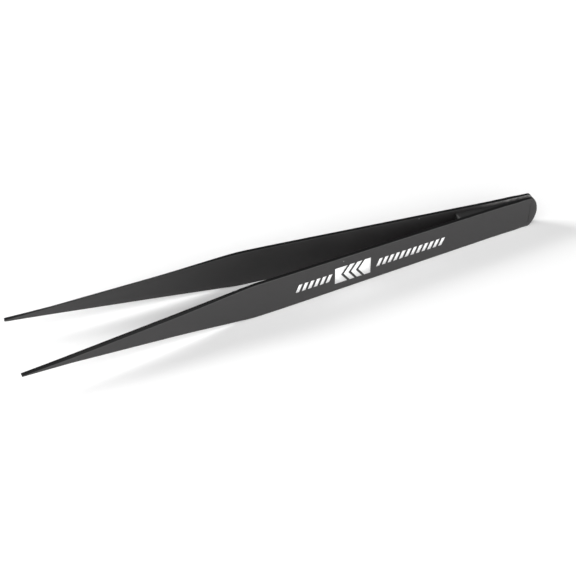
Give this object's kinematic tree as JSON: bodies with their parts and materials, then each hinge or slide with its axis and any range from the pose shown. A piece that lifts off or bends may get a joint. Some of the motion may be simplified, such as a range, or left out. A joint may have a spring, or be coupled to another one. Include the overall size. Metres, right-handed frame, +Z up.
{
  "type": "precision tweezers",
  "caption": "Straight fine-point tweezers: sprung black steel arms with a wide flat handle, a long taper to needle tips, and a rounded heel closed by a filler wedge.",
  "frame": {"origin": "middle of the tool's length and width, on the surface that its lower edges rest on", "axes": "+X towards the rounded heel along the tool, with the tips at -X; +Y across the tool, the way the arms open, towards the right arm; +Z up, across the flat width of the arms"},
  "size_m": [0.135, 0.0198, 0.0102],
  "materials": {
    "arm_black": "satin black coating on spring steel, duller along its edges and rubbed to the metal inside the heel",
    "filler_black": "dull black coating on steel",
    "print_white": "thin white pad-printed ornament, slightly satin"
  },
  "bodies": {
    "heel": {"filler_wedge": "filler_black", "left_arm_root": "arm_black", "right_arm_root": "arm_black"},
    "left_blade": {"left_arm_blade": "arm_black"},
    "right_blade": {"right_arm_blade": "arm_black"}
  },
  "joints": [
    {"name": "left_arm_flex", "type": "hinge", "parent": "heel", "child": "left_blade", "pos_m": [0.03, -0.00262, 0.00479], "axis": [0, 0, -1], "range_deg": [0, 5.22], "stiffness_Nm_per_rad": 0.55},
    {"name": "right_arm_flex", "type": "hinge", "parent": "heel", "child": "right_blade", "pos_m": [0.03, 0.00262, 0.00479], "axis": [0, 0, 1], "range_deg": [0, 5.22], "stiffness_Nm_per_rad": 0.55}
  ],
  "couplings": [
    {"joint": "right_arm_flex", "follows": "left_arm_flex", "ratio": 1}
  ]
}
